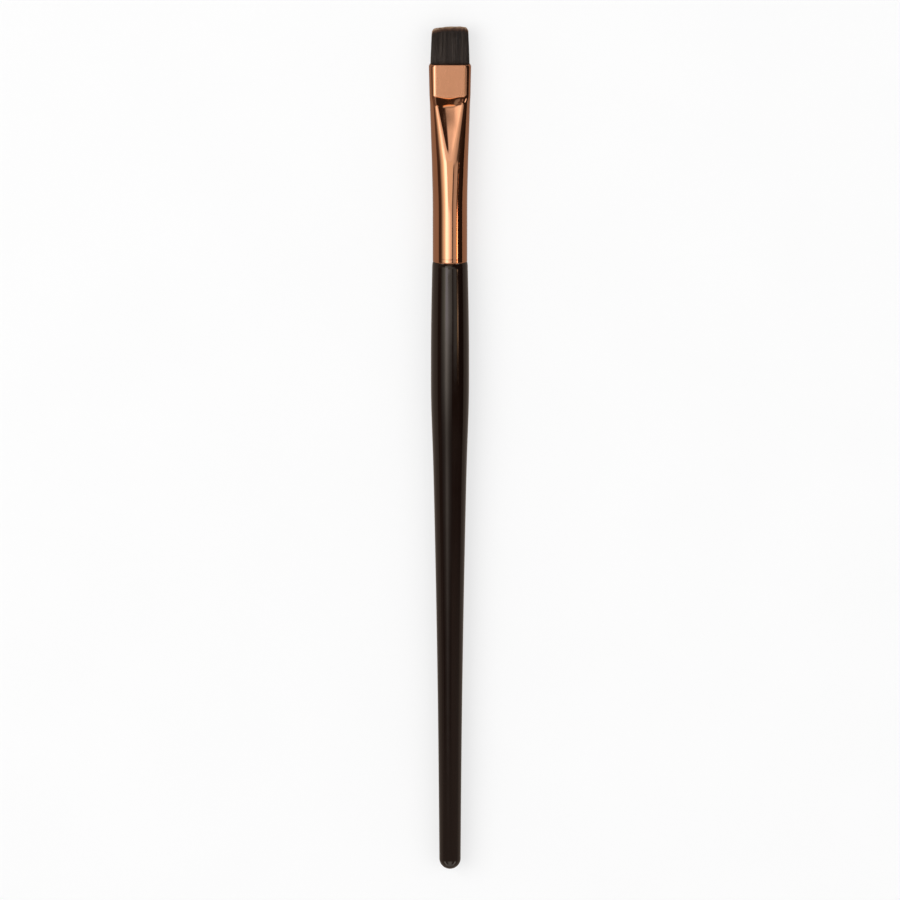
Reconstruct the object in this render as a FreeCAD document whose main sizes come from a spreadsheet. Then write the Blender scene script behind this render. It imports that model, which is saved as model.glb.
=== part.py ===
import FreeCAD, Part
import math
import os
from collections import namedtuple

import Sketcher
from FreeCAD import Placement, Rotation, Vector

# A flat-topped eye makeup brush: a turned wooden handle, a formed metal ferrule and a tuft of fibres.
# Every piece is modelled upright on its own axis, with height zero at the ferrule's lower edge and the
# fibres at the top. The finished brush lies on its side: fibres towards +Y, flat faces up and down.

# Alias, size in millimetres, what it is.
SIZES = (
    ("handle_length", 122.9, "from the ferrule's lower edge to the handle's tail"),
    ("shoulder_diameter", 7.0, "handle just below the ferrule"),
    ("shoulder_round", 0.25, "rounding of the handle's shoulder"),
    ("swell_diameter", 7.32, "control point between shoulder and belly"),
    ("swell_depth", 7.0, "that point's distance below the ferrule, as for every depth here"),
    ("belly_diameter", 7.56, "thickest place of the handle"),
    ("belly_start_depth", 15.0, "where the belly begins"),
    ("belly_end_depth", 29.0, "where the belly ends"),
    ("waist_diameter", 6.7, "control point below the belly"),
    ("waist_depth", 39.0, "that point's depth"),
    ("taper_diameter", 6.14, "control point where the long taper begins"),
    ("taper_depth", 52.0, "that point's depth"),
    ("shank_diameter", 5.2, "control point in the middle of the taper"),
    ("shank_depth", 75.0, "that point's depth"),
    ("end_diameter", 4.54, "control point where the taper fades out"),
    ("end_depth", 100.0, "that point's depth"),
    ("tail_diameter", 4.26, "round tail end of the handle"),
    ("tenon_relief", 1.0, "tenon's end below the place where the ferrule stops being round"),
    ("tenon_chamfer", 0.5, "chamfer on the tenon's end"),
    ("glue_gap", 0.03, "radial room for glue between tenon and ferrule"),
    ("ferrule_length", 39.5, "lower edge to mouth"),
    ("barrel_diameter", 6.84, "round part of the ferrule, outside"),
    ("ferrule_wall", 0.3, "thickness of the ferrule's metal"),
    ("lip_height", 0.35, "height of the turned-in lower lip"),
    ("lip_inset", 0.1, "how far the lip turns in"),
    ("panel_length", 6.4, "flat pressed panel, from the mouth down to its crease"),
    ("step_length", 1.35, "steep step below the panel"),
    ("vee_length", 11.45, "hollow that narrows from the step to its tip"),
    ("blend_length", 8.3, "from the tip of the hollow down to the round barrel"),
    ("mouth_width", 8.38, "ferrule's mouth, outside"),
    ("crease_width", 8.1, "ferrule at the panel's crease, outside"),
    ("step_width", 7.94, "ferrule at the lower end of the step, outside"),
    ("vee_tip_width", 7.2, "ferrule at the tip of the hollow, outside"),
    ("panel_thickness", 3.1, "across the pressed panels, outside"),
    ("step_thickness", 4.5, "across the ridges at the lower end of the step"),
    ("vee_tip_thickness", 6.54, "across the faces at the tip of the hollow"),
    ("panel_width", 5.5, "flat of the panel"),
    ("step_flat", 4.9, "between the ridges at the lower end of the step"),
    ("vee_tip_flat", 0.4, "between the ridges at the tip of the hollow"),
    ("hollow_depth", 0.28, "how far the hollow sinks below its ridges at the step"),
    ("edge_flat", 0.5, "flat on the ferrule's narrow sides"),
    ("fibre_gap", 0.02, "room between the fibres or resin and the ferrule's inside"),
    ("resin_depth", 15.0, "mouth down to the top of the resin plug"),
    ("resin_length", 3.6, "height of the resin plug"),
    ("tuft_length", 7.5, "free length of the fibres above the mouth"),
    ("tuft_top_width", 6.94, "tuft just below its domed top"),
    ("tuft_top_thickness", 2.1, "tuft just below its domed top"),
    ("tuft_corner", 0.9, "rounding of the tuft's upright edges at the top"),
    ("tuft_bow", 2.2, "power by which the tuft narrows towards its top"),
    ("crown_height", 0.6, "height of the domed top"),
    ("crown_inset", 0.6, "how far the dome draws in"),
)

TUFT_SHARES = (0.0, 0.35, 0.6, 0.8, 1.0)
CROWN_ANGLES = (35, 60, 80)
BLEND_STRIPS, VEE_STRIPS, STEP_STRIPS = 2, 8, 2
CURVE_DEGREE = 3
CURVE_RUNS = 14
POINTS_MATCH = 1e-6
START, END, CENTRE = 1, 2, 3
LEVEL_AXIS, UPRIGHT_AXIS = -1, -2
QUADRANTS = ((1, 1), (-1, 1), (-1, -1), (1, -1))

# A quarter of a tube's outline at one height: the middle of its narrow side, the side's end, the middle
# of the round corner, the ridge beside the face, and the face's middle. Roundness is 1 for a circle.
Quarter = namedtuple("Quarter", "side_middle side corner ridge face_middle roundness")


def make_sheet(document):
    """The spreadsheet that holds every driving size."""
    sheet = document.addObject("Spreadsheet::Sheet", "Sizes")
    for row, (alias, value, meaning) in enumerate(SIZES, start=1):
        sheet.set("A%d" % row, alias)
        sheet.set("B%d" % row, str(value))
        sheet.set("C%d" % row, meaning)
        sheet.setAlias("B%d" % row, alias)
    document.recompute()
    return sheet


def lying_placement(sheet):
    """Lays an upright piece on its side, with the whole brush centred over the origin."""
    middle = (sheet.handle_length - sheet.ferrule_length - sheet.tuft_length) / 2
    return Placement(Vector(0, middle, sheet.belly_diameter / 2), Rotation(Vector(1, 0, 0), -90))


def barrel_top(sheet):
    """Height where the ferrule stops being round."""
    pressed = sheet.panel_length + sheet.step_length + sheet.vee_length + sheet.blend_length
    return sheet.ferrule_length - pressed


# Handle


def basis(knots, number, degree, place):
    """Share of one control point in a spline's point, by the usual recursion."""
    if degree == 0:
        return float(knots[number] <= place < knots[number + 1])
    share = 0.0
    rise = knots[number + degree] - knots[number]
    if rise:
        share += (place - knots[number]) / rise * basis(knots, number, degree - 1, place)
    fall = knots[number + degree + 1] - knots[number + 1]
    if fall:
        share += (knots[number + degree + 1] - place) / fall * basis(knots, number + 1, degree - 1, place)
    return share


def curve_shares(count, way):
    """Shares of all control points in the point at a part of the way along their curve."""
    if way == 1:
        return [0.0] * (count - 1) + [1.0]
    spans = count - CURVE_DEGREE
    knots = [0] * CURVE_DEGREE + list(range(spans + 1)) + [spans] * CURVE_DEGREE
    return [basis(knots, number, CURVE_DEGREE, way * spans) for number in range(count)]


class Outline:
    """A closed chain of edges in a sketch. Formulas of the sheet hold every joint's radius and height."""

    def __init__(self, sketch, radius, height):
        self.sketch = sketch
        self.start = self.joint = (radius, height)
        self.edges = []

    def place(self, radius, height):
        """The point that two formulas give now."""
        return Vector(self.sketch.evalExpression(radius), self.sketch.evalExpression(height), 0)

    def tie(self, *terms):
        """Adds one constraint and gives its number."""
        return self.sketch.addConstraint(Sketcher.Constraint(*terms))

    def hold(self, index, position, radius, height):
        """Holds a point at its radius and height, or on an axis where the formula is zero."""
        point = self.sketch.getPoint(index, position)
        across = ("DistanceX", point.x, radius, UPRIGHT_AXIS)
        upright = ("DistanceY", point.y, height, LEVEL_AXIS)
        for kind, value, formula, axis in (across, upright):
            if formula == "0":
                self.tie("PointOnObject", index, position, axis)
            else:
                number = self.tie(kind, LEVEL_AXIS, START, index, position, value)
                self.sketch.setExpression("Constraints[%d]" % number, formula)

    def add(self, curve, radius, height):
        """Adds an edge from the chain's end to a new end; gives its number, start and end."""
        index = self.sketch.addGeometry(curve, False)
        forward = self.sketch.getPoint(index, START).isEqual(self.place(*self.joint), POINTS_MATCH)
        first, last = (START, END) if forward else (END, START)
        if self.edges:
            before = self.edges[-1]
            self.tie("Coincident", before[0], before[2], index, first)
        self.edges.append((index, first, last))
        self.hold(index, last, radius, height)
        self.joint = (radius, height)
        return index, first, last

    def line_to(self, radius, height):
        """A straight edge."""
        self.add(Part.LineSegment(self.place(*self.joint), self.place(radius, height)), radius, height)

    def quarter_to(self, radius, height, centre_under_end):
        """A quarter of a circle, with its centre on the height of one end and under the other."""
        here, end = self.place(*self.joint), self.place(radius, height)
        centre = Vector(end.x, here.y, 0) if centre_under_end else Vector(here.x, end.y, 0)
        middle = centre + (here + end - centre * 2).normalize() * (here - centre).Length
        index, first, last = self.add(Part.Arc(here, middle, end), radius, height)
        self.tie("Vertical", index, last if centre_under_end else first, index, CENTRE)

    def curve_to(self, joints):
        """Short straight runs along the spline of the given control points, the last of them its end."""
        joints = [self.joint] + joints
        for run in range(1, CURVE_RUNS + 1):
            terms = [
                ("%.6f * (%s)" % (share, radius), "%.6f * (%s)" % (share, height))
                for share, (radius, height) in zip(curve_shares(len(joints), run / CURVE_RUNS), joints)
                if share
            ]
            self.line_to(*(" + ".join(column) for column in zip(*terms)))

    def close(self):
        """A straight edge back to the start."""
        self.line_to(*self.start)
        last, first = self.edges[-1], self.edges[0]
        self.tie("Coincident", last[0], last[2], first[0], first[1])


def handle_outline(sketch):
    """Half of the handle's section, from the tenon's end down to the tail and back up the axis."""
    tenon = "Sizes.barrel_diameter / 2 - Sizes.ferrule_wall - Sizes.glue_gap"
    pressed = "Sizes.panel_length + Sizes.step_length + Sizes.vee_length + Sizes.blend_length"
    tenon_top = "Sizes.ferrule_length - (" + pressed + ") - Sizes.tenon_relief"
    belly = "Sizes.belly_diameter / 2"

    outline = Outline(sketch, "0", tenon_top)
    outline.line_to(tenon + " - Sizes.tenon_chamfer", tenon_top)
    outline.line_to(tenon, tenon_top + " - Sizes.tenon_chamfer")
    outline.line_to(tenon, "0")
    outline.line_to("Sizes.shoulder_diameter / 2 - Sizes.shoulder_round", "0")
    outline.quarter_to("Sizes.shoulder_diameter / 2", "-Sizes.shoulder_round", False)
    outline.curve_to(
        [
            ("Sizes.swell_diameter / 2", "-Sizes.swell_depth"),
            (belly, "-Sizes.belly_start_depth"),
            (belly, "-(Sizes.belly_start_depth + Sizes.belly_end_depth) / 2"),
            (belly, "-Sizes.belly_end_depth"),
            ("Sizes.waist_diameter / 2", "-Sizes.waist_depth"),
            ("Sizes.taper_diameter / 2", "-Sizes.taper_depth"),
            ("Sizes.shank_diameter / 2", "-Sizes.shank_depth"),
            ("Sizes.end_diameter / 2", "-Sizes.end_depth"),
            ("Sizes.tail_diameter / 2", "Sizes.tail_diameter / 2 - Sizes.handle_length"),
        ]
    )
    outline.quarter_to("0", "-Sizes.handle_length", True)
    outline.close()


def make_handle(document):
    """The turned handle: tenon, seat for the ferrule, belly, long taper and round tail."""
    body = document.addObject("PartDesign::Body", "Handle")
    sketch = body.newObject("Sketcher::SketchObject", "HandleOutline")
    upright = next(item for item in body.Origin.OriginFeatures if item.Role == "XZ_Plane")
    sketch.AttachmentSupport = [(upright, "")]
    sketch.MapMode = "FlatFace"
    handle_outline(sketch)
    document.recompute()

    turned = body.newObject("PartDesign::Revolution", "Turned")
    turned.Profile = sketch
    turned.ReferenceAxis = (sketch, ["V_Axis"])
    turned.Angle = 360
    return body


# Ferrule


def round_quarter(height, radius, edge_half, ridge_half):
    """A quarter of a circle, parted where the pressed outlines have their side's end and ridge."""
    low, high = math.asin(edge_half / radius), math.acos(ridge_half / radius)
    angles = (0, low, (low + high) / 2, high, math.pi / 2)
    points = [Vector(radius * math.cos(angle), radius * math.sin(angle), height) for angle in angles]
    return Quarter(*points, 1)


def pressed_quarter(height, half_width, half_thickness, edge_half, ridge_half, hollow=0):
    """A quarter with an elliptic corner between its narrow side and its face, which may be hollow."""
    across = ridge_half + (half_width - ridge_half) * math.sqrt(0.5)
    up = edge_half + (half_thickness - edge_half) * math.sqrt(0.5)
    return Quarter(
        Vector(half_width, 0, height),
        Vector(half_width, edge_half, height),
        Vector(across, up, height),
        Vector(ridge_half, half_thickness, height),
        Vector(0, half_thickness - hollow, height),
        0,
    )


def bent_edge(start, middle, end, weight, roundness):
    """A curve through three points: an arc of a circle or another conic, or a line where they align."""
    if middle.distanceToLine(start, end - start) < POINTS_MATCH:
        return Part.makeLine(start, end)
    if roundness == 1:
        return Part.Arc(start, middle, end).toShape()
    curve = Part.BezierCurve()
    curve.setPoles([start, (middle * (2 + 2 * weight) - start - end) * (0.5 / weight), end])
    curve.setWeight(2, weight)
    return curve.toShape()


def outline_wire(quarter):
    """The closed outline that a quarter gives, counter-clockwise from the end of its right side."""
    edges = []
    for across, up in QUADRANTS:
        side, corner, ridge = (
            Vector(across * point.x, up * point.y, point.z)
            for point in (quarter.side, quarter.corner, quarter.ridge)
        )
        if across == up:
            first, last = side, ridge
            middle, opposite = quarter.face_middle, Vector(-ridge.x, ridge.y, ridge.z)
        else:
            first, last = ridge, side
            middle, opposite = quarter.side_middle, Vector(side.x, -side.y, side.z)
        middle = Vector(across * middle.x, up * middle.y, middle.z)
        edges.append(bent_edge(first, corner, last, math.sqrt(0.5), quarter.roundness))
        edges.append(bent_edge(last, middle, opposite, 1, quarter.roundness))
    return Part.Wire(edges)


def in_strips(low, high, strips):
    """The outlines above the lower one that lead to the upper one in even strips."""
    shares = [number / strips for number in range(1, strips + 1)]
    return [Quarter(*(start + (end - start) * share for start, end in zip(low, high))) for share in shares]


def solid_through(quarters):
    """The solid through a row of outlines, straight between each two."""
    return Part.makeLoft([outline_wire(quarter) for quarter in quarters], True, True)


def pressed_quarters(sheet, inset):
    """The ferrule from the top of its round barrel up to its mouth, drawn in by a wall or a gap."""
    mouth = sheet.ferrule_length
    crease = mouth - sheet.panel_length
    step = crease - sheet.step_length
    tip = step - sheet.vee_length
    edge, tip_ridge = sheet.edge_flat / 2, sheet.vee_tip_flat / 2
    tip_hollow = sheet.hollow_depth * sheet.vee_tip_flat / sheet.step_flat
    panel_half = sheet.panel_thickness / 2 - inset

    def pressed(height, width, half_thickness, ridge_half, hollow=0):
        return pressed_quarter(height, width / 2 - inset, half_thickness, edge, ridge_half, hollow)

    barrel_end = round_quarter(barrel_top(sheet), sheet.barrel_diameter / 2 - inset, edge, tip_ridge)
    vee_tip = pressed(tip, sheet.vee_tip_width, sheet.vee_tip_thickness / 2 - inset, tip_ridge, tip_hollow)
    step_foot = pressed(
        step, sheet.step_width, sheet.step_thickness / 2 - inset, sheet.step_flat / 2, sheet.hollow_depth
    )
    panel_foot = pressed(crease, sheet.crease_width, panel_half, sheet.panel_width / 2)
    panel_top = pressed(mouth, sheet.mouth_width, panel_half, sheet.panel_width / 2)
    return (
        [barrel_end]
        + in_strips(barrel_end, vee_tip, BLEND_STRIPS)
        + in_strips(vee_tip, step_foot, VEE_STRIPS)
        + in_strips(step_foot, panel_foot, STEP_STRIPS)
        + [panel_top]
    )


def bore_solid(sheet, gap):
    """What the ferrule's inside holds, short of its walls by gap."""
    inset = sheet.ferrule_wall + gap
    edge, tip_ridge = sheet.edge_flat / 2, sheet.vee_tip_flat / 2
    lower_end = round_quarter(0, sheet.barrel_diameter / 2 - inset, edge, tip_ridge)
    return solid_through([lower_end] + pressed_quarters(sheet, inset))


def make_ferrule(document, sheet):
    """The formed tube: round barrel, hollow faces between two ridges, step, and flat pressed panels."""
    edge, tip_ridge = sheet.edge_flat / 2, sheet.vee_tip_flat / 2
    barrel = sheet.barrel_diameter / 2
    lip = [
        round_quarter(0, barrel - sheet.lip_inset, edge, tip_ridge),
        round_quarter(sheet.lip_height, barrel, edge, tip_ridge),
    ]
    ferrule = document.addObject("Part::Feature", "Ferrule")
    ferrule.Shape = solid_through(lip + pressed_quarters(sheet, 0)).cut(bore_solid(sheet, 0))
    return ferrule


# Resin and fibres


def bore_slice(sheet, low, high):
    """The part of the ferrule's filling between two heights."""
    reach = sheet.mouth_width
    slab = Part.makeBox(2 * reach, 2 * reach, high - low, Vector(-reach, -reach, low))
    return bore_solid(sheet, sheet.fibre_gap).common(slab)


def make_resin(document, sheet):
    """The hardened plug that holds the roots of the fibres."""
    top = sheet.ferrule_length - sheet.resin_depth
    resin = document.addObject("Part::Feature", "RootAdhesive")
    resin.Shape = bore_slice(sheet, top - sheet.resin_length, top)
    return resin


def tuft_quarters(sheet):
    """The free tuft: filling the mouth, bowing in upwards, and closed by a dome."""
    inset = sheet.ferrule_wall + sheet.fibre_gap
    mouth_half = sheet.mouth_width / 2 - inset
    mouth_face = sheet.panel_thickness / 2 - inset
    top_half, top_face = sheet.tuft_top_width / 2, sheet.tuft_top_thickness / 2
    brim_height = sheet.tuft_length - sheet.crown_height
    edge = sheet.edge_flat / 2

    quarters = []
    for share in TUFT_SHARES:
        height = sheet.ferrule_length + share * brim_height
        drawn = share**sheet.tuft_bow
        half = mouth_half + (top_half - mouth_half) * drawn
        face = mouth_face + (top_face - mouth_face) * share
        ridge = sheet.panel_width / 2 + (top_half - sheet.tuft_corner - sheet.panel_width / 2) * drawn
        quarters.append(pressed_quarter(height, half, face, edge, ridge))

    lowest = math.sin(math.radians(CROWN_ANGLES[-1]))
    for angle in CROWN_ANGLES:
        inset = sheet.crown_inset * (1 - math.cos(math.radians(angle)))
        rise = sheet.crown_height * math.sin(math.radians(angle)) / lowest
        ridge = top_half - sheet.tuft_corner - inset / 2
        height = sheet.ferrule_length + brim_height + rise
        quarters.append(pressed_quarter(height, top_half - inset, top_face - inset, edge, ridge))
    return quarters


def make_tuft(document, sheet):
    """The fibres as one body, from the resin to the domed top."""
    clamped = bore_slice(sheet, sheet.ferrule_length - sheet.resin_depth, sheet.ferrule_length)
    tuft = document.addObject("Part::Feature", "BristleTuft")
    tuft.Shape = clamped.fuse(solid_through(tuft_quarters(sheet))).removeSplitter()
    return tuft


# Brush


def check_built(document, pieces):
    """Stops if any object failed or any piece is empty or broken."""
    for item in document.Objects:
        if "Invalid" in item.State or "Error" in item.State:
            raise RuntimeError("%s did not build" % item.Label)
    for piece in pieces:
        if piece.Shape.isNull() or not piece.Shape.isValid():
            raise RuntimeError("%s has no valid shape" % piece.Label)


def main():
    """Builds the brush and writes one file for each piece."""
    document = FreeCAD.newDocument("MakeupBrush")
    sheet = make_sheet(document)
    pieces = {
        "handle": make_handle(document),
        "ferrule": make_ferrule(document, sheet),
        "root_adhesive": make_resin(document, sheet),
        "bristle_tuft": make_tuft(document, sheet),
    }
    for name, piece in pieces.items():
        piece.Label = name
        piece.Placement = lying_placement(sheet)
    document.recompute()
    check_built(document, pieces.values())

    os.makedirs("parts", exist_ok=True)
    for name, piece in pieces.items():
        piece.Shape.exportStep(os.path.join("parts", name + ".step"))


main()
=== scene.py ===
import math

import bpy
import numpy as np
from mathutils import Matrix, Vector


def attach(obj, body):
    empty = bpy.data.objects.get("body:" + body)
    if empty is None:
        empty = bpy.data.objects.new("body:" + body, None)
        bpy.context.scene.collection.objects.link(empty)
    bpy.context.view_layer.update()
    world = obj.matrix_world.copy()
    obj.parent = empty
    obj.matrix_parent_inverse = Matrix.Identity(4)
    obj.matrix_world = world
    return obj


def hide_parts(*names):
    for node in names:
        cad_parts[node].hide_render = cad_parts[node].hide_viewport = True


# Looks of a flat-topped eye makeup brush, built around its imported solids. The brush lies along Y with its
# fibres towards +Y. Shapes are worked out in millimetres on the brush's own axis: across, up, and the
# height along the axis, which is zero at the ferrule's lower edge. place() takes them to the frame.

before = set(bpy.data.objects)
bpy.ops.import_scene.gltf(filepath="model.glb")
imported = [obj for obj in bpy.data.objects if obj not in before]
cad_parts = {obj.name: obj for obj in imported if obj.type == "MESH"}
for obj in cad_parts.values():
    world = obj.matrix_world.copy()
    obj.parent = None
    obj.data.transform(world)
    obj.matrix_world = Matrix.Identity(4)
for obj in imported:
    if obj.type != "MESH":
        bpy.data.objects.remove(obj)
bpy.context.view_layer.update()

MM = 0.001
AXIS_Y = 37.95
AXIS_Z = 3.78

# Ferrule: the lip is its lower edge, the V's tip and the step lie on the pressed face, and the mouth holds the
# fibres.
FERRULE_LENGTH = 39.5
BARREL_RADIUS = 3.42
WALL = 0.3
LIP_HEIGHT = 0.14
LIP_DRAWN = 0.045
LIP_ROUND = 0.06
RING_HEIGHT = 0.75
RING_DEPTH = 0.003
RING_SPREAD = 0.14
BARREL_TOP = 12.0
VEE_TIP = 20.3
STEP_FOOT = 31.75
CREASE = 33.1
EDGE_HALF = 0.25
TIP_RIDGE_HALF = 0.2
MOUTH_RIDGE = 2.75
MOUTH_OUTER_HALF = 4.19
MOUTH_ROUND = 0.07
CRIMP_HEIGHT = 0.5
CRIMP_DRAWN = 0.24
CRIMP_CURVE = 1.6
PANEL_HALF_THICKNESS = 1.55
# Half width, half thickness, half the distance between the ridges, and how hollow the face is.
TIP_FORM = (3.6, 3.27, TIP_RIDGE_HALF, 0.023)
FOOT_FORM = (3.97, 2.25, 2.45, 0.28)
CREASE_FORM = (4.05, PANEL_HALF_THICKNESS, MOUTH_RIDGE)
MOUTH_FORM = (MOUTH_OUTER_HALF, PANEL_HALF_THICKNESS, MOUTH_RIDGE)

# Handle
HANDLE_LENGTH = 122.9
TENON_TOP = 11.0
TENON_RADIUS = 3.09
TENON_CHAMFER = 0.5
TENON_MIDDLE = 5.0
HAIR_GAP = 0.02
SHOULDER_RADIUS = 3.5
SHOULDER_ROUND = 0.25
SHOULDER_FALL = 1.1
SHOULDER_BULGE = 0.025
FLANK_GAP = 0.2
HANDLE_SEGMENTS = 144
SHOULDER_STEPS, FLANK_STEPS, TAIL_STEPS = 14, 130, 22
# Radius and height of the poles of the curve that the handle's side follows.
HANDLE_POLES = (
    (3.5, -0.25), (3.66, -7.0), (3.78, -15.0), (3.78, -22.0), (3.78, -29.0),
    (3.35, -39.0), (3.07, -52.0), (2.6, -75.0), (2.27, -100.0), (2.13, -120.77),
)

# Tuft: its half sizes at the mouth and at the top, how its sides curve between them, and how its top falls
# to the left.
TUFT_LENGTH = 7.5
MOUTH_HALF = 3.87
MOUTH_FACE = 1.23
TOP_HALF = 3.47
TOP_FACE = 1.05
TOP_RIDGE = 2.57
TUFT_BOW = 1.3
LEFT_DROP = 0.2
LEFT_DROP_FROM = 0.35
CORE_CLEARANCE = 0.16
CORE_SHARES = np.linspace(-0.55, 0.955, 26)
FIBRE_COUNT = 3600
FIBRE_SIDES = 4
FIBRE_SHARES = (-0.1, 0.18, 0.42, 0.64, 0.82, 0.94, 1.0)
FIBRE_LEAN = (0.055, 0.03)
FIBRE_SWAY = (0.025, 0.012)
FIBRE_THICKNESS = (0.034, 0.05)
FIBRE_TAPER = 0.62
SHORT_FIBRES = 0.05
SEED = 7


def place(points):
    """Points on the brush's axis in millimetres, as rows of across, up and height, in the frame."""
    across, up, height = points[..., 0], points[..., 1], points[..., 2]
    return np.stack([across, height + AXIS_Y, up + AXIS_Z], axis=-1) * MM


def add_mesh(name, vertices, faces, smooth=True):
    mesh = bpy.data.meshes.new(name)
    mesh.from_pydata([tuple(vertex) for vertex in vertices], [], [tuple(face) for face in faces])
    mesh.validate()
    if smooth:
        mesh.shade_smooth()
    piece = bpy.data.objects.new(name, mesh)
    bpy.context.scene.collection.objects.link(piece)
    return piece


def ring_faces(rows, count, closed):
    """Quads between neighbouring rings of a grid; closed joins the last ring to the first."""
    faces = []
    for row in range(rows if closed else rows - 1):
        here, there = row * count, (row + 1) % rows * count
        for step in range(count):
            after = (step + 1) % count
            faces.append((here + step, here + after, there + after, there + step))
    return faces


# ---------------------------------------------------------------- ferrule

SIDE_STEPS, CORNER_STEPS, FACE_STEPS = 3, 22, 19


def quarter(half_width, half_thickness, ridge_half, hollow=0.0, circle=False):
    """Points of a quarter outline, from the middle of the narrow side round to the middle of the face."""
    if circle:
        low = math.asin(EDGE_HALF / half_width)
        high = math.acos(TIP_RIDGE_HALF / half_width)
        angles = np.concatenate([
            np.linspace(0, low, SIDE_STEPS, endpoint=False),
            np.linspace(low, high, CORNER_STEPS, endpoint=False),
            np.linspace(high, math.pi / 2, FACE_STEPS),
        ])
        return half_width * np.stack([np.cos(angles), np.sin(angles)], axis=-1)
    rise = np.linspace(0, EDGE_HALF, SIDE_STEPS, endpoint=False)
    side = np.stack([np.full(SIDE_STEPS, half_width), rise], axis=-1)
    turn = np.linspace(0, math.pi / 2, CORNER_STEPS, endpoint=False)
    corner = np.stack([
        ridge_half + (half_width - ridge_half) * np.cos(turn),
        EDGE_HALF + (half_thickness - EDGE_HALF) * np.sin(turn),
    ], axis=-1)
    inward = np.linspace(1, 0, FACE_STEPS)
    face = np.stack([ridge_half * inward, half_thickness - hollow * (1 - inward**2)], axis=-1)
    return np.concatenate([side, corner, face])


def outline(points):
    """The closed outline, counter-clockwise, that a quarter gives by mirroring."""
    first = points[:-1]
    second = (points * [-1, 1])[::-1][:-1]
    third = (points * [-1, -1])[:-1]
    fourth = (points * [1, -1])[::-1][:-1]
    return np.concatenate([first, second, third, fourth])


def ferrule_levels(inset):
    """Heights and outlines where the ferrule's form changes, drawn in by an inset."""
    rows = [
        (0.0, quarter(BARREL_RADIUS - LIP_DRAWN - inset, 0, 0, circle=True)),
        (LIP_HEIGHT, quarter(BARREL_RADIUS - inset, 0, 0, circle=True)),
        (BARREL_TOP, quarter(BARREL_RADIUS - inset, 0, 0, circle=True)),
    ]
    for height, form in (
        (VEE_TIP, TIP_FORM), (STEP_FOOT, FOOT_FORM), (CREASE, CREASE_FORM), (FERRULE_LENGTH, MOUTH_FORM),
    ):
        rows.append((height, quarter(form[0] - inset, form[1] - inset, *form[2:])))
    heights = np.array([row[0] for row in rows])
    outlines = np.stack([outline(row[1]) for row in rows])
    return heights, outlines


def outline_at(levels, height):
    heights, outlines = levels
    height = min(max(height, heights[0]), heights[-1])
    above = min(int(np.searchsorted(heights, height, side="right")), len(heights) - 1)
    share = (height - heights[above - 1]) / (heights[above] - heights[above - 1])
    return outlines[above - 1] * (1 - share) + outlines[above] * share


# How far each crease of the ferrule is rounded along its height.
CREASE_HEIGHTS = (0, 0.2, 0.6, 6, BARREL_TOP, 16, VEE_TIP, 24, 30.8, STEP_FOOT, 32.4, CREASE, 34, 39.5)
CREASE_ROUNDS = (0.0, 0.05, 0.1, 1.2, 1.6, 1.2, 0.45, 0.5, 0.3, 0.18, 0.17, 0.22, 0.22, 0.0)
SPREAD = np.linspace(-2, 2, 9)
SPREAD_WEIGHTS = np.exp(-SPREAD**2 / 2) / np.exp(-SPREAD**2 / 2).sum()


# How often neighbouring points of an outline are averaged, which rounds the ridges along the ferrule.
RIDGE_HEIGHTS = (0, BARREL_TOP - 1, 15, VEE_TIP, 23, 28, 39.5)
RIDGE_PASSES = (0, 0, 14, 12, 5, 3, 3)


def evenly_spaced(loop):
    """The same closed outline with evenly spaced points in each of its quarters."""
    count = len(loop) // 4
    quarters = []
    for number in range(4):
        part = np.roll(loop, -number * count, axis=0)[:count + 1]
        along = np.concatenate([[0], np.cumsum(np.linalg.norm(np.diff(part, axis=0), axis=1))])
        even = np.linspace(0, along[-1], count, endpoint=False)
        quarters.append(np.stack([np.interp(even, along, part[:, axis]) for axis in (0, 1)], axis=-1))
    return np.concatenate(quarters)


def rounded_outline(levels, height):
    reach = float(np.interp(height, CREASE_HEIGHTS, CREASE_ROUNDS))
    loop = sum(
        weight * outline_at(levels, height + reach * offset) for offset, weight in zip(SPREAD, SPREAD_WEIGHTS)
    )
    loop = evenly_spaced(loop)
    for _ in range(int(np.interp(height, RIDGE_HEIGHTS, RIDGE_PASSES))):
        loop = loop / 2 + (np.roll(loop, 1, axis=0) + np.roll(loop, -1, axis=0)) / 4
    return loop


# Where the foot of the step runs off its level on the upper face: across the brush, and along it. The shift
# sets in at one height, ends at the other, and is fainter and mirrored on the lower face.
FOOT_ACROSS = (-3.4, -2.6, -1.3, 0.0, 0.9, 1.5, 2.0, 2.5, 3.0, 3.7)
FOOT_SHIFT = (0.0, -0.15, -0.4, -0.36, -0.22, 0.06, 0.27, 0.36, 0.24, 0.0)
SHIFT_FROM, SHIFT_TO = 26.5, 33.1
LOWER_FACE = -0.6
SHIFT_FADE = 0.5


def shifted_foot(loop, height):
    """Heights of an outline's points where the hand-pressed step wanders across the face."""
    if height < STEP_FOOT:
        rising = np.clip((height - SHIFT_FROM) / (STEP_FOOT - SHIFT_FROM), 0, 1)
        weight = rising**2 * (3 - 2 * rising)
    else:
        weight = max(0.0, (SHIFT_TO - height) / (SHIFT_TO - STEP_FOOT))
    across = np.where(loop[:, 1] >= 0, loop[:, 0], LOWER_FACE * loop[:, 0])
    shift = np.interp(across, FOOT_ACROSS, FOOT_SHIFT)
    fade = np.clip(np.abs(loop[:, 1]) / SHIFT_FADE, 0, 1)
    return height + shift * weight * fade


def crimped(loop, height):
    """An outline with its narrow sides drawn in toward the mouth."""
    share = np.clip(1 - (FERRULE_LENGTH - height) / CRIMP_HEIGHT, 0, 1) ** CRIMP_CURVE
    reach = np.clip((np.abs(loop[:, 0]) - MOUTH_RIDGE) / (MOUTH_OUTER_HALF - MOUTH_RIDGE), 0, 1)
    across = loop[:, 0] - np.sign(loop[:, 0]) * CRIMP_DRAWN * share * reach
    return np.column_stack([across, loop[:, 1]])


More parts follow.
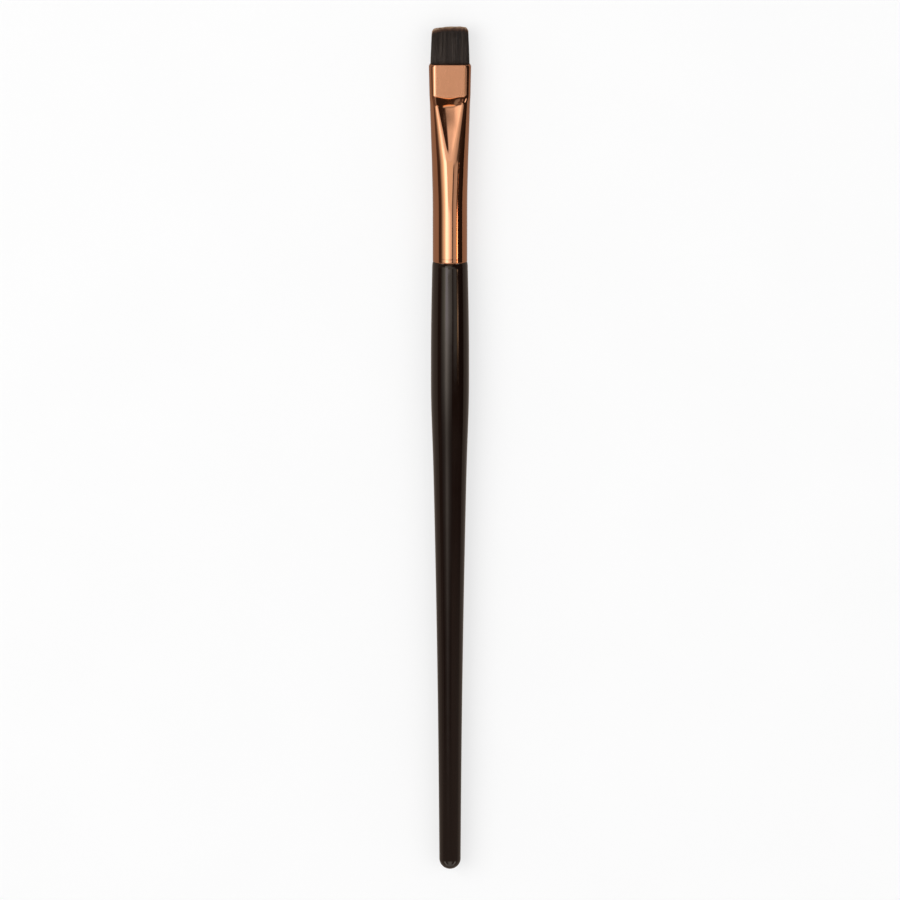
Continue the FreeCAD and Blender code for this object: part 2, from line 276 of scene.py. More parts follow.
def rolled_ring(height):
    """How far the shallow ring rolled in just above the lower edge draws the barrel in."""
    return 1 - RING_DEPTH / BARREL_RADIUS * math.exp(-(((height - RING_HEIGHT) / RING_SPREAD) ** 2))


def rim_rings(outside, inside, turns, level, rise):
    """Rings that roll an edge over from one outline to another."""
    rings = []
    for turn in np.radians(turns):
        share = (1 - math.cos(turn)) / 2
        loop = outside * (1 - share) + inside * share
        rings.append(np.column_stack([loop, np.full(len(loop), level + rise * math.sin(turn))]))
    return rings


def make_ferrule():
    """The whole tube: up its outside, over the mouth, down its inside and round the lip."""
    outer, inner = ferrule_levels(0.0), ferrule_levels(WALL)
    below_rim = FERRULE_LENGTH - MOUTH_ROUND
    outer_heights = np.concatenate([
        np.linspace(LIP_ROUND, 0.5, 6, endpoint=False),
        np.linspace(0.5, 1.3, 14, endpoint=False),
        np.linspace(1.3, BARREL_TOP, 12, endpoint=False),
        np.linspace(BARREL_TOP, VEE_TIP - 1, 22, endpoint=False),
        np.linspace(VEE_TIP - 1, VEE_TIP + 2, 16, endpoint=False),
        np.linspace(VEE_TIP + 2, STEP_FOOT - 0.6, 34, endpoint=False),
        np.linspace(STEP_FOOT - 0.6, CREASE + 0.5, 44, endpoint=False),
        np.linspace(CREASE + 0.5, FERRULE_LENGTH - CRIMP_HEIGHT, 13, endpoint=False),
        np.linspace(FERRULE_LENGTH - CRIMP_HEIGHT, below_rim, 7),
    ])
    rings = []
    for height in outer_heights:
        loop = crimped(rounded_outline(outer, height), height) * rolled_ring(height)
        rings.append(np.column_stack([loop, shifted_foot(loop, height)]))
    mouth_outer = crimped(rounded_outline(outer, FERRULE_LENGTH), FERRULE_LENGTH)
    mouth_inner = rounded_outline(inner, FERRULE_LENGTH)
    rings += rim_rings(mouth_outer, mouth_inner, np.linspace(30, 150, 5), below_rim, MOUTH_ROUND)
    for height in np.concatenate([np.linspace(below_rim, CREASE, 6), np.linspace(CREASE - 0.3, LIP_ROUND, 34)]):
        loop = rounded_outline(inner, height)
        rings.append(np.column_stack([loop, np.full(len(loop), height)]))
    lip_outer, lip_inner = rounded_outline(outer, 0.0), rounded_outline(inner, 0.0)
    rings += rim_rings(lip_outer, lip_inner, np.linspace(150, 30, 5), LIP_ROUND, -LIP_ROUND)
    count = len(rings[0])
    return add_mesh("ferrule_skin", place(np.concatenate(rings)), ring_faces(len(rings), count, True))


# ---------------------------------------------------------------- handle


def spline_points(poles, steps):
    """Points on a clamped uniform cubic B-spline."""
    poles = np.array(poles)
    degree, spans = 3, len(poles) - 3
    knots = np.concatenate([np.zeros(degree), np.arange(spans + 1), np.full(degree, spans)])
    points = []
    for place_on in np.linspace(0, spans, steps):
        span = min(int(place_on), spans - 1) + degree
        local = [poles[span - degree + number].copy() for number in range(degree + 1)]
        for level in range(1, degree + 1):
            for number in range(degree, level - 1, -1):
                low = knots[span - degree + number]
                high = knots[span + 1 + number - level]
                share = (place_on - low) / (high - low)
                local[number] = local[number - 1] * (1 - share) + local[number] * share
        points.append(local[degree])
    return np.array(points)


def arc_points(centre, radius, start, end, steps):
    angles = np.radians(np.linspace(start, end, steps))
    return np.stack([centre[0] + radius * np.cos(angles), centre[1] + radius * np.sin(angles)], axis=-1)


def make_handle():
    """A turned body: the tenon, the shoulder under the ferrule, the side and the round tail."""
    tail_radius = HANDLE_POLES[-1][0]
    tenon = np.array([
        (HAIR_GAP, TENON_TOP), (TENON_RADIUS - TENON_CHAMFER, TENON_TOP),
        (TENON_RADIUS, TENON_TOP - TENON_CHAMFER), (TENON_RADIUS, TENON_MIDDLE), (TENON_RADIUS, HAIR_GAP),
        (TENON_RADIUS + HAIR_GAP, 0.0),
    ])
    turn = np.radians(np.linspace(90, 0, SHOULDER_STEPS))
    inner = SHOULDER_RADIUS + SHOULDER_BULGE - SHOULDER_ROUND
    shoulder = np.stack([
        inner + SHOULDER_ROUND * np.cos(turn) ** 0.8, SHOULDER_FALL * (np.sin(turn) ** 1.1 - 1),
    ], axis=-1)
    flank = spline_points(HANDLE_POLES, FLANK_STEPS)
    flank = flank[flank[:, 1] < -SHOULDER_FALL - FLANK_GAP]
    tail = arc_points((0, tail_radius - HANDLE_LENGTH), tail_radius, 0, -89.5, TAIL_STEPS)[1:]
    profile = np.concatenate([tenon, shoulder, flank, tail])
    turns = np.linspace(0, 2 * math.pi, HANDLE_SEGMENTS, endpoint=False)
    rings = [
        np.stack([radius * np.cos(turns), radius * np.sin(turns), np.full(HANDLE_SEGMENTS, height)], axis=-1)
        for radius, height in profile
    ]
    faces = ring_faces(len(rings), HANDLE_SEGMENTS, False)
    last = (len(rings) - 1) * HANDLE_SEGMENTS
    faces.append(tuple(range(HANDLE_SEGMENTS)))
    faces.append(tuple(reversed(range(last, last + HANDLE_SEGMENTS))))
    faces = [tuple(reversed(face)) for face in faces]
    return add_mesh("handle_skin", place(np.concatenate(rings)), faces)


# ---------------------------------------------------------------- tuft


def tuft_size(share):
    """Half width, half thickness and ridge spacing of the tuft at a share of its free height."""
    drawn = np.clip(share, 0, 1) ** TUFT_BOW
    half = MOUTH_HALF + (TOP_HALF - MOUTH_HALF) * drawn
    face = MOUTH_FACE + (TOP_FACE - MOUTH_FACE) * np.clip(share, 0, 1)
    ridge = MOUTH_RIDGE + (TOP_RIDGE - MOUTH_RIDGE) * drawn
    return half, face, ridge


def top_height(across, up):
    """Height of the tuft's slightly domed and uneven top; across and up are shares of its half sizes."""
    dome = 0.16 * np.abs(across) ** 2.5 + 0.62 * np.abs(across) ** 16 + 0.1 * up**2 + 0.2 * up**10
    left_drop = LEFT_DROP * np.clip(LEFT_DROP_FROM - across, 0, 2) ** 1.5
    wave = 0.02 * np.sin(across * 9.0 + 2.6) + 0.015 * np.sin(across * 17.0 + up * 2.0)
    return TUFT_LENGTH - 0.06 - dome - left_drop + wave


def make_tuft_core():
    """A closed body just inside the outer fibres, so that no gap between them shows through."""
    rings = []
    for share in CORE_SHARES:
        half, face, ridge = tuft_size(share)
        loop = outline(quarter(half - CORE_CLEARANCE, face - CORE_CLEARANCE, ridge - 0.02))
        height = FERRULE_LENGTH + share * TUFT_LENGTH
        rings.append(np.column_stack([loop, np.full(len(loop), height)]))
    top = rings[-1].copy()
    for draw in (0.85, 0.5, 0.15, 0.01):
        ring = top.copy()
        ring[:, :2] *= draw
        ring[:, 2] += 0.12 * (1 - draw)
        rings.append(ring)
    for ring in rings[len(CORE_SHARES) - 1:]:
        drop = TUFT_LENGTH - top_height(ring[:, 0] / TOP_HALF, ring[:, 1] / TOP_FACE)
        ring[:, 2] -= drop * 0.8
    count = len(top)
    faces = ring_faces(len(rings), count, False)
    faces.append(tuple(reversed(range(count))))
    faces.append(tuple(range((len(rings) - 1) * count, len(rings) * count)))
    return add_mesh("tuft_core", place(np.concatenate(rings)), faces)


def fibre_seats(random):
    """Where fibres stand in the mouth, as shares of its half sizes: two rows round the rim, then the inside."""
    seats = []
    rim = outline(quarter(MOUTH_HALF, MOUTH_FACE, MOUTH_RIDGE))
    closed = np.vstack([rim, rim[:1]])
    lengths = np.concatenate([[0], np.cumsum(np.linalg.norm(np.diff(closed, axis=0), axis=1))])
    for inset, count in ((0.05, 330), (0.1, 320), (0.17, 300)):
        along = (np.arange(count) + random.uniform(-0.35, 0.35, count)) / count * lengths[-1]
        x = np.interp(along, lengths, closed[:, 0])
        y = np.interp(along, lengths, closed[:, 1])
        x = np.sign(x) * np.maximum(np.abs(x) - inset, 0)
        y = np.sign(y) * np.maximum(np.abs(y) - inset, 0)
        seats.append(np.stack([x / MOUTH_HALF, y / MOUTH_FACE], axis=-1))
    inside = FIBRE_COUNT - sum(len(row) for row in seats)
    across = random.uniform(-0.97, 0.97, inside * 2)
    up = random.uniform(-0.93, 0.93, inside * 2)
    reach = np.abs(across) * MOUTH_HALF
    room = np.where(
        reach > MOUTH_RIDGE,
        np.sqrt(np.clip(1 - ((reach - MOUTH_RIDGE) / (MOUTH_HALF - MOUTH_RIDGE)) ** 2, 0, 1)),
        1.0,
    )
    kept = np.abs(up) < room
    seats.append(np.stack([across[kept], up[kept]], axis=-1)[:inside])
    return np.concatenate(seats)


def make_bristles():
    """Single hairs from just inside the mouth to the top, each a thin prism that tapers to its tip."""
    random = np.random.default_rng(SEED)
    seats = fibre_seats(random)
    count = len(seats)
    across, up = seats[:, 0], seats[:, 1]
    lean = random.normal(0, 1, (count, 2)) * FIBRE_LEAN
    sway = random.normal(0, 1, (count, 2)) * FIBRE_SWAY
    sway_phase = random.uniform(0, math.pi, count)
    tips = top_height(across, up) - np.abs(random.normal(0, 0.075, count))
    short = random.uniform(0, 1, count) < SHORT_FIBRES
    tips = tips - short * random.uniform(0.05, 0.35, count)
    thickness = random.uniform(*FIBRE_THICKNESS, count)
    spin = random.uniform(0, math.pi / 2, count)

    corner_angles = np.arange(FIBRE_SIDES) * 2 * math.pi / FIBRE_SIDES
    rings = []
    for share in FIBRE_SHARES:
        height = tips * share
        free = np.clip(height / TUFT_LENGTH, 0, 1)
        half, face, _ = tuft_size(free)
        bend = free**1.6
        wobble = np.sin(free * math.pi + sway_phase) * free
        x = across * half + lean[:, 0] * bend + sway[:, 0] * wobble
        y = up * face + lean[:, 1] * bend + sway[:, 1] * wobble
        taper = 1 - FIBRE_TAPER * max(0.0, share) ** 3
        ring = np.empty((count, FIBRE_SIDES, 3))
        for side, angle in enumerate(corner_angles):
            ring[:, side, 0] = x + thickness * taper * np.cos(angle + spin)
            ring[:, side, 1] = y + thickness * taper * np.sin(angle + spin)
            ring[:, side, 2] = FERRULE_LENGTH + height
        rings.append(ring)
    stack = np.stack(rings, axis=1)
    levels = len(FIBRE_SHARES)
    faces = []
    for fibre in range(count):
        base = fibre * levels * FIBRE_SIDES
        for level in range(levels - 1):
            here, there = base + level * FIBRE_SIDES, base + (level + 1) * FIBRE_SIDES
            for side in range(FIBRE_SIDES):
                after = (side + 1) % FIBRE_SIDES
                faces.append((here + side, here + after, there + after, there + side))
        faces.append(tuple(base + side for side in reversed(range(FIBRE_SIDES))))
        top = base + (levels - 1) * FIBRE_SIDES
        faces.append(tuple(top + side for side in range(FIBRE_SIDES)))
    return add_mesh("bristles", place(stack.reshape(-1, 3)), faces)


# ---------------------------------------------------------------- materials


class Shader:
    """A material's node tree, with short ways to add and join nodes."""

    def __init__(self, name):
        self.material = bpy.data.materials.new(name)
        self.material.use_nodes = True
        self.tree = self.material.node_tree
        self.tree.nodes.clear()
        self.output = self.node("ShaderNodeOutputMaterial")

    def node(self, kind, **values):
        node = self.tree.nodes.new(kind)
        for key, value in values.items():
            setattr(node, key, value)
        return node

    def link(self, source, target):
        self.tree.links.new(source, target)

    def principled(self, **values):
        node = self.node("ShaderNodeBsdfPrincipled")
        for key, value in values.items():
            node.inputs[key.replace("_", " ")].default_value = value
        self.link(node.outputs[0], self.output.inputs[0])
        return node

    def math(self, operation, first, second=0.0, third=0.0):
        node = self.node("ShaderNodeMath", operation=operation)
        for socket, value in zip(node.inputs, (first, second, third)):
            if isinstance(value, (int, float)):
                socket.default_value = value
            else:
                self.link(value, socket)
        return node.outputs[0]

    def position(self, scale=(1.0, 1.0, 1.0)):
        """Place on the object in metres, stretched by scale."""
        source = self.node("ShaderNodeTexCoord")
        mapping = self.node("ShaderNodeMapping")
        mapping.inputs["Scale"].default_value = scale
        self.link(source.outputs["Object"], mapping.inputs["Vector"])
        return mapping.outputs[0]

    def noise(self, scale, detail=2.0, roughness=0.5):
        node = self.node("ShaderNodeTexNoise")
        node.inputs["Scale"].default_value = 1.0
        node.inputs["Detail"].default_value = detail
        node.inputs["Roughness"].default_value = roughness
        self.link(self.position(scale), node.inputs["Vector"])
        return node.outputs["Fac"]

    def ramp(self, factor, stops):
        node = self.node("ShaderNodeValToRGB")
        elements = node.color_ramp.elements
        elements[0].position, elements[0].color = stops[0][0], (*stops[0][1], 1)
        elements[1].position, elements[1].color = stops[-1][0], (*stops[-1][1], 1)
        for place_on, colour in stops[1:-1]:
            elements.new(place_on).color = (*colour, 1)
        self.link(factor, node.inputs[0])
        return node.outputs[0]

    def span(self, value, low, high, to_low=0.0, to_high=1.0, kind="LINEAR"):
        node = self.node("ShaderNodeMapRange", interpolation_type=kind)
        for key, number in (("From Min", low), ("From Max", high), ("To Min", to_low), ("To Max", to_high)):
            node.inputs[key].default_value = number
        self.link(value, node.inputs["Value"])
        return node.outputs[0]

    def mix(self, factor, first, second, blend="MIX"):
        node = self.node("ShaderNodeMix", data_type="RGBA", blend_type=blend)
        for socket, value in ((node.inputs[0], factor), (node.inputs[6], first), (node.inputs[7], second)):
            if isinstance(value, (int, float)):
                socket.default_value = value
            elif isinstance(value, tuple):
                socket.default_value = (*value, 1)
            else:
                self.link(value, socket)
        return node.outputs[2]

    def bump(self, height, distance):
        node = self.node("ShaderNodeBump")
        node.inputs["Distance"].default_value = distance
        node.inputs["Strength"].default_value = 1.0
        self.link(height, node.inputs["Height"])
        return node.outputs[0]


def copper():
    shader = Shader("copper")
    surface = shader.principled(Metallic=1.0, Roughness=0.07)
    drift = shader.noise((180, 60, 180), 2.0)
    tint = shader.ramp(drift, ((0.3, (0.55, 0.255, 0.138)), (0.7, (0.585, 0.275, 0.152))))
    shader.link(tint, surface.inputs["Base Color"])
    parts = shader.node("ShaderNodeSeparateXYZ")
    shader.link(shader.position(), parts.inputs[0])
    crease = (AXIS_Y + CREASE) * MM
    above = shader.span(parts.outputs["Y"], crease + 0.05 * MM, crease + 0.35 * MM, kind="SMOOTHSTEP")
    across = shader.math("ABSOLUTE", parts.outputs["X"])
    inside = shader.span(across, 2.62 * MM, 2.86 * MM, 1.0, 0.0, kind="SMOOTHSTEP")
    panel = shader.math("MULTIPLY", above, inside)
    streaks = shader.noise((5200, 160, 5200), 3.0, 0.6)
    polished = shader.span(streaks, 0.3, 0.7, 0.05, 0.085)
    grain = shader.noise((11000, 700, 11000), 3.0, 0.7)
    satin = shader.math("MULTIPLY", panel, shader.span(grain, 0.3, 0.7, 0.2, 0.3))
    shader.link(shader.math("ADD", polished, satin), surface.inputs["Roughness"])
    relief = shader.math("MULTIPLY_ADD", shader.math("MULTIPLY", grain, panel), 6.0, streaks)
    shader.link(shader.bump(relief, 0.0000009), surface.inputs["Normal"])
    return shader.material


def lacquer():
    shader = Shader("lacquer")
    surface = shader.principled(Roughness=0.1, IOR=1.5, Specular_IOR_Level=0.5, Specular_Tint=(1.0, 0.885, 0.765, 1.0))
    grain = shader.noise((900, 22, 900), 4.0, 0.6)
    tint = shader.ramp(grain, ((0.3, (0.0055, 0.0022, 0.0015)), (0.72, (0.0085, 0.0036, 0.0025))))
    shader.link(tint, surface.inputs["Base Color"])
    peel = shader.noise((420, 260, 420), 2.0)
    shader.link(shader.span(peel, 0.3, 0.7, 0.07, 0.12), surface.inputs["Roughness"])
    shader.link(shader.bump(peel, 0.000006), surface.inputs["Normal"])
    return shader.material


def fibre(name, painted_shade=1.0):
    shader = Shader(name)
    surface = shader.principled(Roughness=0.42, IOR=1.5, Specular_IOR_Level=0.35)
    streak = shader.noise((7600, 40, 7600), 3.0, 0.65)
    clumps = shader.span(shader.noise((1500, 60, 1500), 2.0), 0.35, 0.65, -0.1, 0.1)
    # Below 1, painted_shade dims the whole fibre colour: painted shade, used for the core.
    body = shader.ramp(shader.math("ADD", streak, clumps), (
        (0.3, (0.009 * painted_shade, 0.006 * painted_shade, 0.0048 * painted_shade)),
        (0.48, (0.024 * painted_shade, 0.0155 * painted_shade, 0.0118 * painted_shade)),
        (0.7, (0.048 * painted_shade, 0.0355 * painted_shade, 0.0275 * painted_shade)),
    ))
    along = shader.node("ShaderNodeSeparateXYZ")
    shader.link(shader.position(), along.inputs[0])
    top = (AXIS_Y + FERRULE_LENGTH + TUFT_LENGTH) * MM
    across = shader.math("MULTIPLY", along.outputs["X"], 1 / (TOP_HALF * MM))
    outward = shader.math("ABSOLUTE", across)
    leftward = shader.math("MAXIMUM", shader.math("SUBTRACT", LEFT_DROP_FROM, across), 0.0)
    left = shader.math("MULTIPLY", shader.math("POWER", leftward, 1.5), LEFT_DROP * MM)
    rounding = shader.math("MULTIPLY", shader.math("POWER", outward, 2.5), 0.2 * MM)
    corner = shader.math("MULTIPLY", shader.math("POWER", outward, 16.0), 0.4 * MM)
    uneven = shader.span(shader.noise((2600, 90, 2600), 2.0), 0.25, 0.75, -0.12 * MM, 0.2 * MM)
    height = shader.math("ADD", shader.math("ADD", along.outputs["Y"], uneven), shader.math("ADD", rounding, corner))
    tip = shader.span(shader.math("ADD", height, left), top - 0.95 * MM, top - 0.03 * MM)
    tip_colour = shader.ramp(tip, (
        (0.0, (0.026, 0.015, 0.0115)), (0.35, (0.055, 0.029, 0.02)), (0.65, (0.125, 0.063, 0.039)),
        (0.87, (0.27, 0.15, 0.092)), (1.0, (0.6, 0.41, 0.26)),
    ))
    shader.link(
        shader.mix(shader.span(tip, 0.0, 0.35), body, tip_colour), surface.inputs["Base Color"]
    )
    shader.link(shader.span(streak, 0.3, 0.7, 0.36, 0.52), surface.inputs["Roughness"])
    return shader.material


def resin():
    shader = Shader("resin")
    surface = shader.principled(Roughness=0.35)
    cloud = shader.noise((900, 900, 900), 3.0)
    tint = shader.ramp(cloud, ((0.3, (0.32, 0.2, 0.08)), (0.7, (0.42, 0.28, 0.13))))
    shader.link(tint, surface.inputs["Base Color"])
    return shader.material


def dress(piece, material):
    piece.data.materials.clear()
    piece.data.materials.append(material)


# ---------------------------------------------------------------- pieces

ferrule = make_ferrule()
dress(ferrule, copper())
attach(ferrule, "root")
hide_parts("ferrule")

handle = make_handle()
dress(handle, lacquer())
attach(handle, "root")
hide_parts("handle")

core = make_tuft_core()
# The core's fibre colour is dimmed to 0.45: painted shade for the inside of the tuft, where it shows between the outer
# fibres.
dress(core, fibre("fibre_core", 0.45))
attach(core, "root")

bristles = make_bristles()
dress(bristles, fibre("fibre"))
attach(bristles, "root")
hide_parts("bristle_tuft")

dress(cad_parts["root_adhesive"], resin())

# ---------------------------------------------------------------- studio

FLOOR_SIZE = 40.0
FLOOR_WHITE = 0.62
SHADE_CARD_SIZE = 1.0
SHADE_CARD_LIFT = 0.0002
CARD_RADIUS = 0.6
CARD_STEPS = 32


def square(size, height):
    half = size / 2
    return np.array([(-half, -half, height), (half, -half, height), (half, half, height), (-half, half, height)])


def make_floor():
    """A plain floor whose colour is lifted towards white for the camera and in gloss; it keeps its shadows."""
    floor = add_mesh("floor", square(FLOOR_SIZE, 0), [(0, 1, 2, 3)], smooth=False)
    shader = Shader("floor")
    surface = shader.principled(Roughness=0.9, Specular_IOR_Level=0.0)
    speckle = shader.noise((40, 40, 40), 2.0)
    tint = shader.ramp(speckle, ((0.3, (0.9, 0.9, 0.9)), (0.7, (0.92, 0.92, 0.92))))
    shader.link(tint, surface.inputs["Base Color"])
    path = shader.node("ShaderNodeLightPath")
    seen = shader.math("MAXIMUM", path.outputs["Is Camera Ray"], path.outputs["Is Glossy Ray"])
    seen = shader.math("MAXIMUM", seen, path.outputs["Is Transmission Ray"])
    white = shader.node("ShaderNodeEmission")
    blend = shader.node("ShaderNodeMixShader")
    shader.link(shader.math("MULTIPLY", seen, FLOOR_WHITE), blend.inputs[0])
    shader.link(surface.outputs[0], blend.inputs[1])
    shader.link(white.outputs[0], blend.inputs[2])
    shader.link(blend.outputs[0], shader.output.inputs[0])
    dress(floor, shader.material)


def make_card(name, stops, reach, fades, radius=CARD_RADIUS, tints=((0, (1, 1, 1)),), covers=(2.0, 2.0)):
    """A reflector curved round the brush's axis, seen only in gloss.

    stops are angles from upright, in degrees towards +X, each with its brightness and, where it isn't grey,
    a factor on its blue; reach is where the card begins and ends along the brush, and its ends fade over
    fades; covers is how far its sides fade, in degrees; tints are its colours along the brush.
    """
    low, high = stops[0][0], stops[-1][0]
    near, far = reach
    turns = np.radians(np.linspace(low, high, CARD_STEPS))
    rows = [(radius * math.sin(turn), y, radius * math.cos(turn)) for turn in turns for y in (near, far)]
    faces = [(2 * i, 2 * i + 1, 2 * i + 3, 2 * i + 2) for i in range(len(turns) - 1)]
    card = add_mesh(name, np.array(rows), faces)
    card.location = (0, 0, AXIS_Z * MM)
    shader = Shader(name)
    parts = shader.node("ShaderNodeSeparateXYZ")
    shader.link(shader.position(), parts.inputs[0])
    turn = shader.math("ARCTAN2", parts.outputs["X"], parts.outputs["Z"])
    brightest = max(stop[1] for stop in stops)
    shades = []
    for stop in stops:
        grey, blue = stop[1] / brightest, stop[2] if len(stop) > 2 else 1.0
        shades.append(((stop[0] - low) / (high - low), (grey, grey, grey * blue)))
    curve = shader.ramp(shader.span(turn, math.radians(low), math.radians(high)), shades)
    cover = None
    for value, start, end in (
        (turn, math.radians(low), math.radians(low + covers[0])),
        (turn, math.radians(high), math.radians(high - covers[1])),
        (parts.outputs["Y"], near, near + fades[0]),
        (parts.outputs["Y"], far, far - fades[1]),
    ):
        if start < end:
            part = shader.span(value, start, end, kind="SMOOTHSTEP")
        else:
            part = shader.span(value, end, start, 1.0, 0.0, kind="SMOOTHSTEP")
        cover = part if cover is None else shader.math("MULTIPLY", cover, part)
    glow = shader.node("ShaderNodeEmission")
    tint = tints[0][1]
    if len(tints) > 1:
        first, last = tints[0][0], tints[-1][0]
        colours = [((y - first) / (last - first), colour) for y, colour in tints]
        tint = shader.ramp(shader.span(parts.outputs["Y"], first, last), colours)
    shader.link(shader.mix(1.0, curve, tint, blend="MULTIPLY"), glow.inputs["Color"])
    glow.inputs["Strength"].default_value = brightest
    clear = shader.node("ShaderNodeBsdfTransparent")
    blend = shader.node("ShaderNodeMixShader")
    shader.link(cover, blend.inputs[0])
    shader.link(clear.outputs[0], blend.inputs[1])
    shader.link(glow.outputs[0], blend.inputs[2])
    shader.link(blend.outputs[0], shader.output.inputs[0])
    dress(card, shader.material)
    gloss_only(card)


def gloss_only(card):
    """Keeps a card out of everything but reflections."""
    card.visible_camera = False
    card.visible_diffuse = False
    card.visible_shadow = False
    card.visible_transmission = False
    card.visible_volume_scatter = False


def make_floor_shade_card():
    """A dim, warm sheet just over the floor that only the reflections see: painted shade, standing in for the floor's
    shadow round the brush.
    """
    card = add_mesh("floor_shade_card", square(SHADE_CARD_SIZE, SHADE_CARD_LIFT), [(0, 1, 2, 3)], smooth=False)
    shader = Shader("floor_shade_card")
    glow = shader.node("ShaderNodeEmission")
    speckle = shader.noise((20, 20, 20), 2.0)
    # Painted shade: the dim warm colour that the reflections see in place of the lit floor.
    tint = shader.ramp(speckle, ((0.3, (0.41, 0.345, 0.3)), (0.7, (0.44, 0.37, 0.32))))
    shader.link(tint, glow.inputs["Color"])
    shader.link(glow.outputs[0], shader.output.inputs[0])
    dress(card, shader.material)
    gloss_only(card)


def make_lamp(name, size, power, location):
    data = bpy.data.lights.new(name, "AREA")
    data.shape = "SQUARE"
    data.size = size
    data.energy = power
    lamp = bpy.data.objects.new(name, data)
    lamp.location = location
    lamp.rotation_euler = (-Vector(location)).to_track_quat("-Z", "Y").to_euler()
    lamp.visible_glossy = False
    lamp.visible_camera = False
    bpy.context.scene.collection.objects.link(lamp)


def make_world(soft):
    """Soft light from all round, which the camera, gloss and transmission see as plain white."""
    world = bpy.data.worlds.new("studio")
    bpy.context.scene.world = world
    world.use_nodes = True
    tree = world.node_tree
    tree.nodes.clear()
    output = tree.nodes.new("ShaderNodeOutputWorld")
    path = tree.nodes.new("ShaderNodeLightPath")
    seen = tree.nodes.new("ShaderNodeMath")
    seen.operation = "MAXIMUM"
    tree.links.new(path.outputs["Is Camera Ray"], seen.inputs[0])
    tree.links.new(path.outputs["Is Glossy Ray"], seen.inputs[1])
    clear = tree.nodes.new("ShaderNodeMath")
    clear.operation = "MAXIMUM"
    tree.links.new(seen.outputs[0], clear.inputs[0])
    tree.links.new(path.outputs["Is Transmission Ray"], clear.inputs[1])
    ambient, white = tree.nodes.new("ShaderNodeBackground"), tree.nodes.new("ShaderNodeBackground")
    ambient.inputs["Strength"].default_value = soft
    ambient.inputs["Color"].default_value = (1, 1, 1, 1)
    white.inputs["Strength"].default_value = 1.0
    white.inputs["Color"].default_value = (1, 1, 1, 1)
    blend = tree.nodes.new("ShaderNodeMixShader")
    tree.links.new(clear.outputs[0], blend.inputs[0])
    tree.links.new(ambient.outputs[0], blend.inputs[1])
    tree.links.new(white.outputs[0], blend.inputs[2])
    tree.links.new(blend.outputs[0], output.inputs[0])


make_floor()
make_world(0.56)
make_lamp("key", 1.2, 12.5, (-0.9, 0.3, 1.3))
make_lamp("fill", 1.2, 5.5, (0.9, 0.1, 1.4))
make_floor_shade_card()

# The tent: dim surroundings, darker towards the tail and over the head, and lighter far off.
make_card("tent_grey", ((-96, 0.28), (96, 0.28)), (-1.2, 1.2), (0.1, 0.1), radius=0.7, covers=(0.1, 0.1),
          tints=((0, (1.0, 0.86, 0.8)),))
make_card("tent_head", ((-96, 0.22), (-40, 0.2), (0, 0.05), (96, 0.03)), (-0.06, 1.2), (0.05, 0.1), radius=0.66,
          covers=(0.1, 0.1), tints=((0, (1.0, 0.72, 0.58)),))
make_card("tent_dark", ((-96, 0.08), (40, 0.04), (96, 0.02)), (-0.21, 0.0), (0.06, 0.04), radius=0.68,
          covers=(0.1, 0.1), tints=((0, (1.0, 0.7, 0.55)),))
make_card("tent_far", ((-96, 0.45), (-74, 0.5), (-64, 1.7), (-54, 1.7), (-44, 0.6), (0, 0.7), (30, 0.45), (96, 0.42)),
          (1.1, 4.0), (0.1, 0.4), radius=0.69, covers=(0.1, 0.1), tints=((0, (1.0, 0.83, 0.72)),))

# Painted shade of the floor, carried up at the foot of the brush's left side and seen only in reflections.
make_card("floor_shade_edge", ((-98, 0.42), (-78, 0.42)), (-0.6, 0.6), (0.1, 0.1), radius=0.5, covers=(1.0, 6.0),
          tints=((0, (1.0, 0.83, 0.72)),))

# The large softbox at the left that makes the long highlights, with its dimmer side towards the middle.
make_card("softbox", (
    (-60, 0.1, 0.9), (-52, 0.5, 0.9), (-46, 1.0, 0.9), (-38, 1.35, 0.9), (-33, 1.9, 0.88), (-29, 3.0, 1.0),
    (-25, 3.45, 1.16), (-16, 3.4, 1.16), (-12, 3.0, 1.1),
), (-0.078, 0.07), (0.02, 0.06), covers=(2.0, 3.0))
make_card("softbox_side", (
    (-17, 3.4, 1.15), (-12, 3.0, 1.1), (-6, 2.2, 1.06), (2, 1.6, 1.03), (9, 1.2, 1.0), (15, 0.95, 1.0),
), (-0.078, -0.025), (0.02, 0.03), radius=0.59, covers=(3.0, 1.5))
make_card("softbox_handle", (
    (-60, 0.1), (-52, 0.5), (-44, 0.85), (-38, 1.2), (-32, 1.9), (-27, 3.1), (-23, 3.75), (-18, 3.5), (-12, 2.5),
    (-6, 1.6), (2, 0.9), (9, 0.6), (14, 0.4),
), (-0.21, -0.05), (0.02, 0.02), radius=0.605, covers=(2.0, 3.0), tints=(
    (-0.21, (0.06, 0.06, 0.06)), (-0.175, (0.13, 0.13, 0.13)), (-0.155, (0.26, 0.26, 0.26)),
    (-0.135, (0.38, 0.38, 0.38)), (-0.097, (0.58, 0.58, 0.58)), (-0.07, (0.88, 0.88, 0.88)), (-0.05, (1, 1, 1)),
))

# What the flat panel shows, and the soft light on the right of the V and of the barrel.
make_card("plain", ((-20, 1.25), (15, 1.15)), (-0.06, 0.09), (0.03, 0.04), radius=0.61, covers=(5.0, 3.0),
          tints=((0, (1.0, 0.97, 0.88)),))
make_card("diffuser_right", ((17.5, 0.6), (43, 0.8)), (-0.095, 0.0), (0.02, 0.03), covers=(5.5, 1.0))
make_card("flank_right", ((8, 1.1), (20, 0.85), (38, 0.4)), (-0.026, 0.08), (0.018, 0.05), radius=0.604,
          covers=(4.0, 10.0))

# The thin golden line at the right of the barrel.
make_card("gold_right", ((43, 1.8), (49.5, 1.8)), (-0.086, -0.044), (0.02, 0.012), covers=(2.0, 1.0), radius=0.599,
          tints=((0, (1.0, 0.57, 0.06)),))
make_card("strip_right", ((46.5, 6.5), (53, 6.5)), (-0.086, -0.044), (0.022, 0.012), covers=(2.0, 2.0),
          radius=0.598, tints=((0, (1.0, 0.64, 0.46)),))

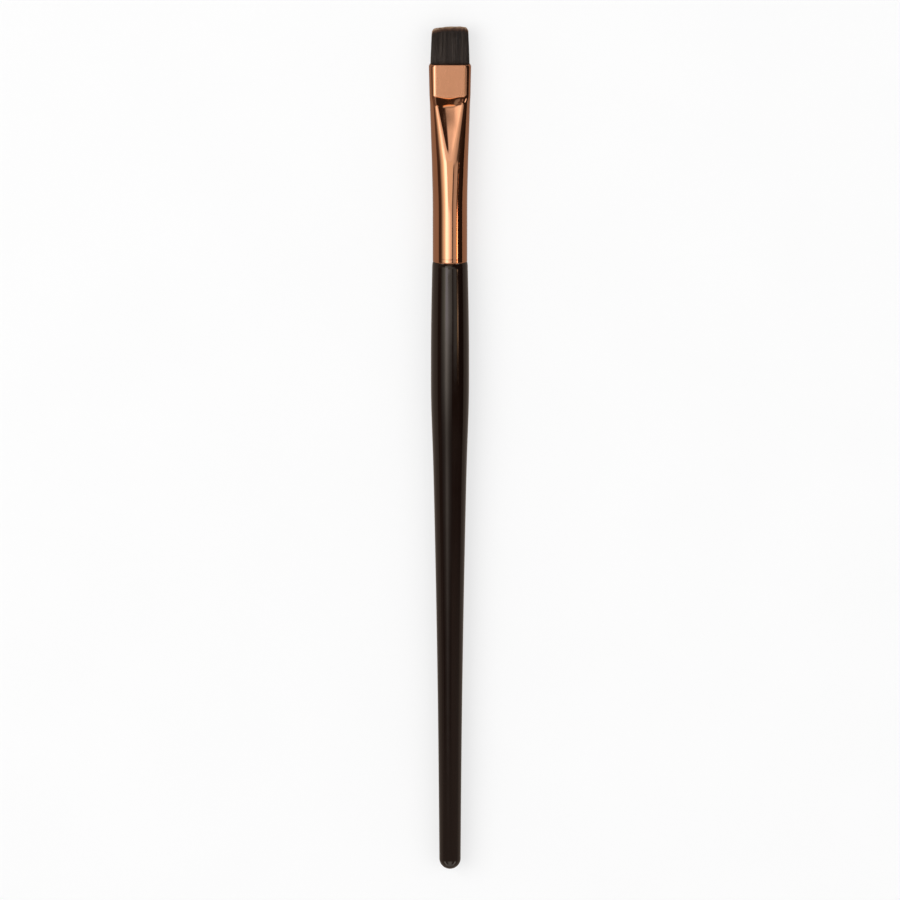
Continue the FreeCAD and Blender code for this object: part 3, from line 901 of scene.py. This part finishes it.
# Over the head: light for the sunken face of the V and the upper part of the step.
make_card("head_panel", ((-34, 3.2), (-20, 2.3), (-9, 1.35), (12, 1.1)), (0.02, 0.14), (0.05, 0.04), radius=0.58,
          covers=(8.0, 5.0))
make_card("head_strip", ((-24, 2.0), (20, 1.8)), (0.125, 0.255), (0.025, 0.03), radius=0.57, covers=(8.0, 8.0),
          tints=((0.13, (0.6, 0.6, 0.6)), (0.19, (0.6, 0.56, 0.5)), (0.215, (1.0, 0.6, 0.3)), (0.25, (0.8, 0.3, 0.08))))
make_card("head_left", ((-34, 0.5), (-8, 0.3)), (0.2, 0.7), (0.05, 0.1), radius=0.56, covers=(6.0, 6.0))

# Beside and above both ends, seen by the flanks when the brush is looked at from elsewhere.
for side in (-1, 1):
    beside = sorted(((side * 50, 0.5), (side * 56, 2.0), (side * 66, 2.2), (side * 76, 0.6)))
    make_card(f"head_beside_{side + 2}", beside, (0.3, 1.15), (0.1, 0.1), radius=0.55, covers=(5.0, 5.0))
    make_card(f"tail_beside_{side + 2}", beside, (-1.15, -0.3), (0.1, 0.1), radius=0.55, covers=(5.0, 5.0))
make_card("tail_above", ((-34, 0.5), (-14, 1.3), (10, 1.5), (34, 0.5)), (-1.15, -0.3), (0.1, 0.1), radius=0.55,
          covers=(10.0, 10.0))

# ---------------------------------------------------------------- camera

CAMERA_TILT = 10.5
CAMERA_DISTANCE = 2.5
FRAME_WIDTH = 0.1785
SENSOR = 36.0


def make_camera():
    data = bpy.data.cameras.new("camera")
    data.sensor_width = SENSOR
    data.lens = SENSOR * CAMERA_DISTANCE / FRAME_WIDTH
    data.clip_start = 0.05
    camera = bpy.data.objects.new("camera", data)
    tilt = math.radians(CAMERA_TILT)
    target = Vector((0, 0, AXIS_Z * MM))
    camera.location = target + Vector((0, math.sin(tilt), math.cos(tilt))) * CAMERA_DISTANCE
    camera.rotation_euler = (-tilt, 0, 0)
    bpy.context.scene.collection.objects.link(camera)
    bpy.context.scene.camera = camera


make_camera()
bpy.context.scene.view_settings.view_transform = "Standard"
